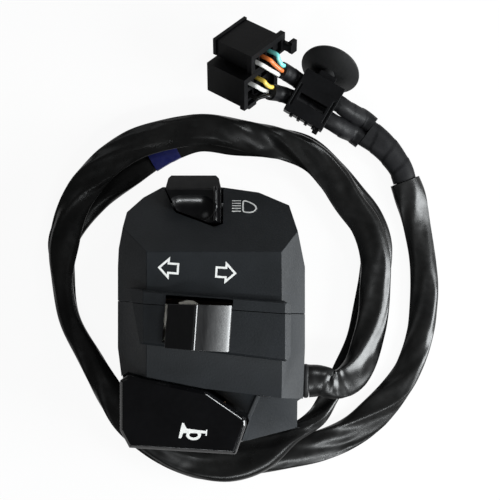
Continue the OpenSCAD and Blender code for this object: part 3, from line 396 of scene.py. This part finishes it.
# Harness sleeve: a soft vinyl tube over the wires, from the grommet twice round the cluster to its open mouth.
# It lies half flat, so long creases wander round it, with small folds between them.
# Its start is pushed over the grommet and bunches up there.
WIDE, SLIM, LOW, HIGH = 5.7, 3.8, 2.6, 7.5
SLEEVE_ROUTE = [
    (33.6, -24.5, 13, 5), (38, -24.5, 13, 5), (43, -25.8, 12.8, 5), (47.8, -24, 11.8, WIDE),
    (52, -18.8, 9.8, WIDE), (54.8, -10.8, 7.8, WIDE), (56.8, -1.4, HIGH, WIDE), (57.6, 9.2, HIGH, WIDE),
    (57.4, 19.8, HIGH, WIDE), (54.2, 30, HIGH, WIDE), (48.2, 38.4, HIGH, WIDE), (42.4, 47.4, HIGH, WIDE),
    (34.4, 55, HIGH, WIDE), (23.8, 59.4, HIGH, WIDE), (11.2, 62, HIGH, WIDE), (-1.2, 64.4, HIGH, WIDE),
    (-15.4, 63, HIGH, WIDE), (-29.4, 58.4, HIGH, WIDE), (-41, 49.6, HIGH, WIDE), (-49.4, 37.8, HIGH, WIDE),
    (-53.2, 24, HIGH, WIDE), (-53.8, 10.4, HIGH, 4), (-51.2, -3, HIGH, 4), (-45, -15, HIGH, 4.2),
    (-38, -27, HIGH, 5), (-30.2, -39.2, HIGH, WIDE), (-18.8, -48.4, HIGH, WIDE), (-6.4, -53.6, HIGH, WIDE),
    (6, -54, HIGH, 7), (17.4, -50.4, HIGH, 6.6), (27.6, -44, HIGH, SLIM), (37, -37.6, 6.2, SLIM),
    (42, -29.4, 4.4, SLIM), (46.8, -21.6, 3, 4.4), (52, -11.4, LOW, 5), (55.4, 0.8, LOW, WIDE),
    (57.6, 12.6, LOW, WIDE), (58.4, 23.4, LOW, WIDE), (55.4, 32.4, LOW, WIDE), (49.2, 40.6, LOW, WIDE),
    (42.4, 48.8, LOW, WIDE), (33, 57.2, LOW, WIDE), (19.8, 60.2, LOW, WIDE), (7.6, 61, LOW, WIDE),
    (-5.6, 62.2, LOW, WIDE), (-18.8, 57.4, LOW, WIDE), (-31.2, 49.2, LOW, WIDE), (-43.4, 39.8, LOW, WIDE),
    (-53.4, 26.6, LOW, WIDE), (-53.6, 11, LOW, 4), (-51.4, -3.4, LOW, 4), (-44.4, -17, LOW, 4.4),
    (-36.2, -31.4, LOW, 5.2), (-26.4, -43.6, LOW, WIDE), (-14, -51.8, LOW, WIDE), (-0.6, -55.4, LOW, WIDE),
    (13, -53.4, LOW, WIDE), (25.6, -51.2, LOW, WIDE), (38.4, -48.4, LOW, WIDE), (50.4, -42.8, LOW, WIDE),
    (60.4, -33.8, LOW, 5.9), (69, -22.2, LOW, 5), (73.8, -9.2, LOW, 5), (75.4, 4.4, LOW, 5.2),
    (75, 17.2, LOW, 4.9), (73, 30, LOW, 5.1), (70.6, 40, 3.2, 5.8), (68.4, 46.2, 3.6, 5.5),
]
SPLINE_STEPS, TINY = 16, 1e-9


def smooth_route(route, step):
    """Even points, about step apart, on a smooth line through the route; extra values follow it too."""
    pts = [Vector(p) for p in route]
    dense = []
    for i in range(len(pts) - 1):
        a, b = pts[max(i - 1, 0)], pts[i]
        c, d = pts[i + 1], pts[min(i + 2, len(pts) - 1)]
        for k in range(SPLINE_STEPS):
            t = k / SPLINE_STEPS
            dense.append(
                0.5
                * (2 * b + (c - a) * t + (2 * a - 5 * b + 4 * c - d) * t * t + (3 * b - a - 3 * c + d) * t**3)
            )
    dense.append(pts[-1])
    run = [0.0]
    for p, q in zip(dense, dense[1:]):
        run.append(run[-1] + (Vector(q[:3]) - Vector(p[:3])).length)
    count = max(2, round(run[-1] / step))
    out = []
    j = 0
    for i in range(count + 1):
        s = run[-1] * i / count
        while j < len(run) - 2 and run[j + 1] < s:
            j += 1
        t = (s - run[j]) / max(run[j + 1] - run[j], TINY)
        out.append(dense[j].lerp(dense[j + 1], min(max(t, 0), 1)))
    return out, run[-1]


def ring_frame(line, i):
    """Side and up directions square to the line."""
    ahead = Vector(line[min(i + 1, len(line) - 1)][:3])
    behind = Vector(line[max(i - 1, 0)][:3])
    along = (ahead - behind).normalized()
    side = along.cross(Vector((0, 0, 1))).normalized()
    return side, side.cross(along)


def ripple(s, pace, share, angle, shift=0):
    """Noise that runs along a tube and closes round it."""
    return noise.noise(Vector((s * pace + shift, share * math.cos(angle), share * math.sin(angle))))


SLEEVE_STEP, SLEEVE_SIDES, SLACK = 1.0, 48, 0.05
HALF_THICK, MOUTH_THICK, MOUTH_RUN = 2.1, 3.1, 16
MOUTH_WALL, MOUTH_R, LIP_ROWS = 0.55, 4.2, (0, 3, 6)
START_EASE, END_EASE = 12, 10
TURN_SWING, TURN_PACE, TURN_SEED, TURN_DRIFT = 2.2, 0.016, 3.1, 0.045
LEAN_SWING, LEAN_PACE, LEAN_SEED = 1.5, 0.021, 8.6
BOOT_RUN, BOOT_WIDE, BOOT_THICK = 14, 0.9, 1.5
BUNCH_AT, BUNCH_RUN, BUNCH_DEEP, BUNCH_PACE, BUNCH_SKEW = 8, 5, 0.7, 1.7, 2.5
CREASE_DEEP, CREASE_PACE, CREASE_SHARE, EDGE_SHARE = 2.0, 0.019, 0.85, 0.3
FOLD_DEEP, FOLD_PACE, FOLD_SHARE, FOLD_SEED = 0.25, 0.16, 1.6, 40
sleeve_line, sleeve_length = smooth_route(SLEEVE_ROUTE, SLEEVE_STEP)
rings = []
for i, p in enumerate(sleeve_line):
    side, up = ring_frame(sleeve_line, i)
    s = sleeve_length * i / (len(sleeve_line) - 1)
    left = sleeve_length - s
    ease = min(1, s / START_EASE, left / END_EASE)
    turn = TURN_SWING * noise.noise(Vector((s * TURN_PACE, TURN_SEED, 0))) + TURN_DRIFT * s
    lean = LEAN_SWING * noise.noise(Vector((s * LEAN_PACE, LEAN_SEED, 0))) * ease
    boot = max(0, 1 - s / BOOT_RUN)
    bunch = BUNCH_DEEP * math.exp(-(((s - BUNCH_AT) / BUNCH_RUN) ** 2))
    wide = p[3] - SLACK + BOOT_WIDE * boot
    thick = HALF_THICK + (MOUTH_THICK - HALF_THICK) * max(0, 1 - left / MOUTH_RUN) + BOOT_THICK * boot
    ring = []
    for a in ring_angles(SLEEVE_SIDES):
        crease = abs(ripple(s, CREASE_PACE, CREASE_SHARE, a + turn))
        fold = max(0, ripple(s, FOLD_PACE, FOLD_SHARE, a, FOLD_SEED))
        dent = (CREASE_DEEP * crease + FOLD_DEEP * fold) * ease
        dent += bunch * max(0, math.sin(BUNCH_PACE * s + BUNCH_SKEW * math.sin(a)))
        out = Vector((math.cos(a) * thick, math.sin(a) * wide)).normalized()
        x = wide * math.cos(a) - out.x * dent * EDGE_SHARE
        y = thick * math.sin(a) * (1 + lean * math.cos(a) * (math.sin(a) > 0)) - out.y * dent
        ring.append((Vector(p[:3]) + side * x + up * y) * MM)
    rings.append(ring)
lip = []
for depth in LIP_ROWS:
    i = len(sleeve_line) - 1 - depth
    centre = Vector(sleeve_line[i][:3]) * MM
    lip.append([centre + (q - centre) * (1 - MOUTH_WALL / MOUTH_R) for q in rings[i]])
bm = bmesh.new()
skin_rings(bm, rings + lip)
vinyl_mat = surface(
    "sleeve_vinyl", (0.004, 0.004, 0.004), (0.009, 0.0088, 0.0085), (0.26, 0.34), 420, 0.02 * MM, specular=0.36
)
SOFT_TURN = 60
sleeve = add_piece(
    "harness_sleeve_tube", bm, "housing", vinyl_mat, ["harness_sleeve"], angle=SOFT_TURN
)

# Marker tape: a short turn of dark blue vinyl tape on the lower loop, at the upper left.
# It is wound on the sleeve, a little proud of it, with a step where the tape overlaps.
MARKER_ROUTE = [(-14.2, 59.8, LOW), (-18.8, 57.4, LOW), (-23.2, 54.8, LOW)]
MARKER_W, MARKER_H, MARKER_SIDES = 5.75, 2.2, 32
MARKER_STEP, MARKER_TURNS, MARKER_SPACING = 0.12, 1.5, 0.6
marker_line = smooth_route(MARKER_ROUTE, MARKER_SPACING)[0]
rings = []
for i, p in enumerate(marker_line):
    side, up = ring_frame(marker_line, i)
    ring = []
    for a in ring_angles(MARKER_SIDES):
        step = MARKER_STEP * ((a / (2 * math.pi) + i / len(marker_line) * MARKER_TURNS) % 1)
        across, high = (MARKER_W + step) * math.cos(a), (MARKER_H + step) * math.sin(a)
        ring.append((p + side * across + up * high) * MM)
    rings.append(ring)
bm = bmesh.new()
skin_rings(bm, rings)
blue_mat = surface("blue_tape", (0.006, 0.008, 0.06), (0.011, 0.014, 0.1), (0.28, 0.42), 700, 0.02 * MM)
marker = add_piece("marker_tape_turn", bm, "housing", blue_mat, ["marker_tape"], angle=SOFT_TURN)

# Taped bundle and branches: wires bound with black vinyl tape in overlapping turns, each with a small step.
# The bundle leaves the sleeve's mouth, and the two branches leave its end side by side.
BUNDLE_ROUTE = [
    (68.4, 46.2, 3.6, 4.4), (67.1, 50, 3.8, 4.5), (64.2, 54.7, 4, 4.7), (60, 59.4, 4.6, 5), (54.7, 63.4, 5, 5.3),
]
UPPER_ROUTE = [
    (56.6, 65.9, 5, 3.6), (53.4, 68.3, 5.2, 3.6), (48.9, 70.4, 8.8, 3.5), (44.7, 73, 11.4, 3.3),
    (37.2, 77.3, 11.4, 3.1), (29.8, 81.6, 11.4, 3.1), (26.8, 83.4, 13.8, 3.1), (23.8, 84.6, 17.6, 3.1),
]
LOWER_ROUTE = [
    (52.8, 60.9, 5, 3.6), (49.6, 63.3, 5.2, 3.6), (45.9, 64.7, 8.8, 3.5), (41.4, 67.2, 11.4, 3.3),
    (33.9, 71.5, 11.4, 3.1), (26.5, 75.8, 11.4, 3.1), (23, 76.6, 13.6, 3.1), (20, 77, 17.2, 3.1),
]
tape_mat = surface(
    "black_tape", (0.004, 0.004, 0.0045), (0.008, 0.008, 0.009), (0.46, 0.6), 800, 0.03 * MM, specular=0.18
)
TAPE_SPACING, TAPE_SIDES, TAPE_STEP, TAPE_SINK, TAPE_TURN = 0.5, 32, 0.22, 0.26, 50
HOLLOW_DEEP, HOLLOW_PACE, HOLLOW_SHARE = 0.35, 0.12, 1.3
BUNDLE_H, BRANCH_H = 2.85, 3.1


def metres(points):
    """Centre points of a line in millimetres, in metres."""
    return [Vector(p[:3]) * MM for p in points]


def taped_tube(name, route, half_h, pitch, seed, nodes):
    """A tube wound with tape: a step per turn along a helix, and soft hollows between the wires inside."""
    line, length = smooth_route(route, TAPE_SPACING)
    rows = []
    for i, p in enumerate(line):
        side, up = ring_frame(line, i)
        s = length * i / (len(line) - 1)
        row = []
        for a in ring_angles(TAPE_SIDES):
            step = TAPE_STEP * ((s / pitch + a / (2 * math.pi)) % 1)
            hollow = HOLLOW_DEEP * max(0, ripple(s, HOLLOW_PACE, HOLLOW_SHARE, a, seed))
            d = TAPE_SINK - step + hollow
            row.append((Vector(p[:3]) + side * (p[3] - d) * math.cos(a) + up * (half_h - d) * math.sin(a)) * MM)
        rows.append(row)
    mesh = bmesh.new()
    skin_rings(mesh, rows)
    obj = add_piece(name, mesh, "housing", tape_mat, nodes, angle=TAPE_TURN)
    return obj, metres(line), length * MM


bundle = taped_tube("tape_bundle_wound", BUNDLE_ROUTE, BUNDLE_H, pitch=7, seed=5, nodes=["tape_bundle"])[0]
upper, upper_path, upper_length = taped_tube(
    "branch_upper_wound", UPPER_ROUTE, BRANCH_H, pitch=6, seed=17, nodes=["branch_upper"]
)
lower, lower_path, lower_length = taped_tube(
    "branch_lower_wound", LOWER_ROUTE, BRANCH_H, pitch=6.5, seed=29, nodes=["branch_lower"]
)

# Wires: six vinyl wires from the branches into the connectors, each with its own colour.
# The leads inside the housing go from the sleeve's end to the three switches.
WIRES = {
    "wire_teal": ("wire_teal", [
        [(16.5, 92.7, 17.5), (19.2, 91.2, 19.1), (22.3, 89.5, 21), (22.9, 88, 20.5), (23.9, 86.3, 19.5),
         (25, 85.9, 18.1)],
    ]),
    "wire_orange": ("wire_orange", [
        [(14, 90.6, 19.8), (16.7, 89.1, 21.4), (19.8, 87.4, 23.2), (21.4, 86, 21.7), (23.4, 84.6, 19.6),
         (24.4, 84.1, 18.2)],
    ]),
    "wires_white": ("wire_white", [
        [(11.5, 88.5, 22.1), (14.2, 87, 23.7), (17.3, 85.3, 25.5), (19.5, 84.3, 22.5), (22, 83.3, 19),
         (23.1, 82.8, 17.6)],
        [(9.4, 81.5, 19), (12.1, 80, 20.6), (15.2, 78.3, 22.5), (16.4, 77.8, 20.4), (17.9, 77.3, 17.8),
         (19.1, 77.1, 16.4)],
    ]),
    "wire_yellow": ("wire_yellow", [
        [(11.9, 83.6, 16.8), (14.6, 82.1, 18.4), (17.7, 80.4, 20.2), (18.5, 79.5, 19.9), (19.7, 78.6, 19.2),
         (20.9, 78.5, 17.8)],
    ]),
    "wire_black": ("sleeve_vinyl", [
        [(9.4, 77.8, 15.6), (12.1, 76.3, 17.2), (15.2, 74.6, 19.1), (17, 75, 19.2), (19.1, 75.3, 19),
         (20.2, 75.2, 17.6)],
    ]),
    "inner_leads": ("sleeve_vinyl", [
        [(33.6, -27.1, 13), (25.5, -27.1, 13), (22, -27.8, 15.4), (17, -29.2, 20), (12, -31, 25), (7.5, -32.5, 29.4),
         (4.6, -33, 31.1), (2, -33, 31.1)],
        [(33.6, -24.5, 13), (25.5, -24.5, 13), (24.2, -22, 15.2), (23.6, -18.8, 19.4), (22.6, -16.6, 24.4),
         (20.6, -15.4, 29.4), (18.4, -15.1, 32.6), (16.7, -15, 34.9), (15.1, -14.8, 36), (13.5, -14.7, 36)],
        [(33.6, -21.9, 13), (25.5, -21.9, 13), (22.6, -19.6, 10), (21, -15, 6.8), (20.4, -8, 5.2), (20, 2, 4.9),
         (19, 12, 5), (16.5, 20, 7), (13, 26.5, 10.5), (9, 31, 13.6), (5.4, 33, 15), (3.6, 33, 15), (1.8, 33, 15)],
    ]),
}
WIRE_COLOURS = {
    "wire_teal": ((0.12, 0.52, 0.5), (0.2, 0.66, 0.62)),
    "wire_orange": ((0.55, 0.13, 0.03), (0.72, 0.2, 0.05)),
    "wire_white": ((0.58, 0.58, 0.56), (0.68, 0.68, 0.66)),
    "wire_yellow": ((0.6, 0.42, 0.06), (0.76, 0.56, 0.1)),
}
wire_mats = {
    slot: surface(f"{slot}_vinyl", dark, pale, (0.25, 0.38), 900, 0.01 * MM, broad=400)
    for slot, (dark, pale) in WIRE_COLOURS.items()
}
wire_mats["sleeve_vinyl"] = vinyl_mat
WIRE_R, WIRE_SIDES, WIRE_SPACING = 0.78, 14, 0.4
for node, (slot, routes) in WIRES.items():
    bm = bmesh.new()
    for route in routes:
        line = smooth_route(route, WIRE_SPACING)[0]
        rows = []
        for i, p in enumerate(line):
            side, up = ring_frame(line, i)
            spokes = [side * math.cos(a) + up * math.sin(a) for a in ring_angles(WIRE_SIDES)]
            rows.append([(p + spoke * WIRE_R) * MM for spoke in spokes])
        skin_rings(bm, rows)
    add_piece(
        f"{node}_insulation", bm, "housing", wire_mats[slot], [node], angle=SOFT_TURN
    )

# Connectors and harness clip: moulded in satin black nylon, with small rounds on the edges.
# The clip's umbrella and the cable grommet are soft rubber. The grommet's outer flange is drawn in,
# because the sleeve is pushed over it.
nylon_mat = surface(
    "black_nylon", (0.003, 0.003, 0.0033), (0.006, 0.006, 0.0066), (0.4, 0.55), 1500, 0.02 * MM, specular=0.08
)
rubber_mat = surface(
    "black_rubber", (0.006, 0.006, 0.006), (0.011, 0.011, 0.0115), (0.5, 0.65), 1200, 0.03 * MM, specular=0.3
)
NYLON_ROUND, UMBRELLA_ROUND, GROMMET_ROUND = 0.25 * MM, 0.2 * MM, 0.8 * MM
for node in ("connector_upper", "connector_lower", "clip_body", "clip_lid"):
    bm = clean_copy(node)
    round_edges(bm, NYLON_ROUND, segments=2, sharper=30, pick=lambda e: e.is_convex)
    weighted(add_piece(f"{node}_moulding", bm, "housing", nylon_mat, [node]))
FLANGE_X, FLANGE_SPOT, FLANGE_SHRINK = 31.55 * MM, Vector((0, -24.5, 13)) * MM, Vector((1, 0.8, 0.76))
for node, width in (("clip_umbrella", UMBRELLA_ROUND), ("cable_grommet", GROMMET_ROUND)):
    bm = clean_copy(node)
    for v in bm.verts:
        if node == "cable_grommet" and v.co.x > FLANGE_X:
            v.co = FLANGE_SPOT + (v.co - FLANGE_SPOT) * FLANGE_SHRINK
    round_edges(bm, width, segments=3, sharper=30, pick=lambda e: e.is_convex)
    weighted(add_piece(f"{node}_moulding", bm, "housing", rubber_mat, [node]))

# Pieces inside: contacts, springs, screws, bases and the slider, which keep their CAD shape.
# Brass and plated steel have fine streaks, phenolic and acetal a faint mottle.
# The slider gets a tab that shows above the knob, and the two springs are copied as coils with meshes of their own.
brass_mat = surface(
    "contact_brass", (0.5, 0.33, 0.12), (0.62, 0.44, 0.18), (0.24, 0.42), 1800, 0.01 * MM,
    metal=1.0, stretch=(1, 1, 4)
)
steel_mat = surface(
    "plated_steel", (0.42, 0.43, 0.44), (0.56, 0.57, 0.58), (0.22, 0.4), 2200, 0.008 * MM,
    metal=1.0, stretch=(1, 4, 1)
)
phenolic_mat = surface("brown_phenolic", (0.07, 0.038, 0.02), (0.12, 0.07, 0.04), (0.4, 0.58), 1400, 0.03 * MM)
acetal_mat = surface("natural_acetal", (0.62, 0.59, 0.52), (0.74, 0.71, 0.64), (0.35, 0.5), 1200, 0.015 * MM)
TAB = [(-7.4, 6.0), (-0.6, 6.0), (-0.6, 7.1), (-3.0, 8.1), (-4.8, 8.1), (-7.4, 7.1)]
TAB_LOW, TAB_HIGH = 41.8, 44.2
bm = clean_copy("turn_slider")
tab = bm.faces.new([bm.verts.new(TURN_SPOT @ (Vector((*p, TAB_LOW)) * MM)) for p in TAB])
draw_out(bm, tab, Vector((0, 0, TAB_HIGH - TAB_LOW)) * MM)
add_piece("turn_slider_block", bm, "slider", acetal_mat, ["turn_slider"])
PRESSED = {"turn_push_spring": ("slider", "turn_push", 1.52), "horn_return_spring": ("housing", "horn_press", 1.35)}
for node, (body, joint, drop) in PRESSED.items():
    low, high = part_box(node)
    bm = bmesh.new()
    bm.from_mesh(frame["nodes"][node].data)
    coil = add_piece(f"{node}_coil", bm, body, steel_mat, [node])
    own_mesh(coil)
FINISHES = {"brass": brass_mat, "steel": steel_mat, "phenolic": phenolic_mat}
for entry in frame["record"]["subparts"]:
    if entry["material_slot"] in FINISHES:
        inside = frame["nodes"][entry["node"]]
        inside.data.materials.clear()
        inside.data.materials.append(FINISHES[entry["material_slot"]])

# Floor, light and camera: a pale floor that reads as white, and a camera straight above the cluster.
# A soft key stands low at the right, a narrow strip at the front, and two weak lights at the back.
FLOOR_HALF, FLOOR_GREY, FLOOR_ROUGH, WHITE_SHARE = 2.0, (0.8, 0.8, 0.8, 1), 0.9, 0.93
bm = bmesh.new()
bmesh.ops.create_grid(bm, x_segments=1, y_segments=1, size=FLOOR_HALF)
floor_mesh = bpy.data.meshes.new("floor")
bm.to_mesh(floor_mesh)
bm.free()
floor = bpy.data.objects.new("floor", floor_mesh)
bpy.context.collection.objects.link(floor)
floor_mat = bpy.data.materials.new("pale_floor")
floor_mat.use_nodes = True
tree = floor_mat.node_tree
diffuse = tree.nodes["Principled BSDF"]
diffuse.inputs["Base Color"].default_value = FLOOR_GREY
diffuse.inputs["Roughness"].default_value = FLOOR_ROUGH
glow = tree.nodes.new("ShaderNodeEmission")
glow.inputs["Strength"].default_value = 1.0
blend = tree.nodes.new("ShaderNodeMixShader")
ray = tree.nodes.new("ShaderNodeLightPath")
seen = ray.outputs["Is Camera Ray"]
for kind in ("Is Transmission Ray", "Is Glossy Ray"):
    either = tree.nodes.new("ShaderNodeMath")
    either.operation = "MAXIMUM"
    tree.links.new(seen, either.inputs[0])
    tree.links.new(ray.outputs[kind], either.inputs[1])
    seen = either.outputs["Value"]
share = tree.nodes.new("ShaderNodeMath")
share.operation = "MULTIPLY"
share.inputs[1].default_value = WHITE_SHARE
tree.links.new(seen, share.inputs[0])
tree.links.new(share.outputs["Value"], blend.inputs["Fac"])
tree.links.new(diffuse.outputs["BSDF"], blend.inputs[1])
tree.links.new(glow.outputs["Emission"], blend.inputs[2])
tree.links.new(blend.outputs["Shader"], tree.nodes["Material Output"].inputs["Surface"])
floor_mesh.materials.append(floor_mat)

WORLD_LEVEL = 0.05
world = bpy.data.worlds.new("studio")
world.use_nodes = True
world.node_tree.nodes["Background"].inputs["Color"].default_value = (1, 1, 1, 1)
world.node_tree.nodes["Background"].inputs["Strength"].default_value = WORLD_LEVEL
bpy.context.scene.world = world

CENTRE, COOL = Vector((0.01, 0.02, 0.02)), (0.95, 0.985, 1.0)
LAMPS = {
    "key": ((0.42, -0.07, 0.19), (0.24, 0.24), 4.2),
    "strip": ((0.1, -0.36, 0.5), (0.34, 0.05), 1.7),
    "edge": ((0.24, 0.29, 0.38), (0.06, 0.06), 0.45),
    "rim": ((-0.3, 0.5, 0.4), (0.3, 0.3), 0.2),
}
for name, (place, size, power) in LAMPS.items():
    light = bpy.data.lights.new(name, "AREA")
    light.shape = "RECTANGLE"
    light.size, light.size_y = size
    light.energy = power
    light.color = COOL
    lamp = bpy.data.objects.new(name, light)
    lamp.location = place
    lamp.rotation_euler = (CENTRE - Vector(place)).to_track_quat("-Z", "Y").to_euler()
    bpy.context.collection.objects.link(lamp)

camera_data = bpy.data.cameras.new("camera")
VIEW_SPAN, CAMERA_SPOT, SENSOR = 0.18, (0.013, 0.0216, 0.6), 36
camera_data.sensor_width = SENSOR
camera_data.lens = SENSOR * CAMERA_SPOT[2] / VIEW_SPAN
camera = bpy.data.objects.new("camera", camera_data)
camera.location = CAMERA_SPOT
bpy.context.collection.objects.link(camera)
bpy.context.scene.camera = camera
bpy.context.scene.view_settings.view_transform = "Standard"
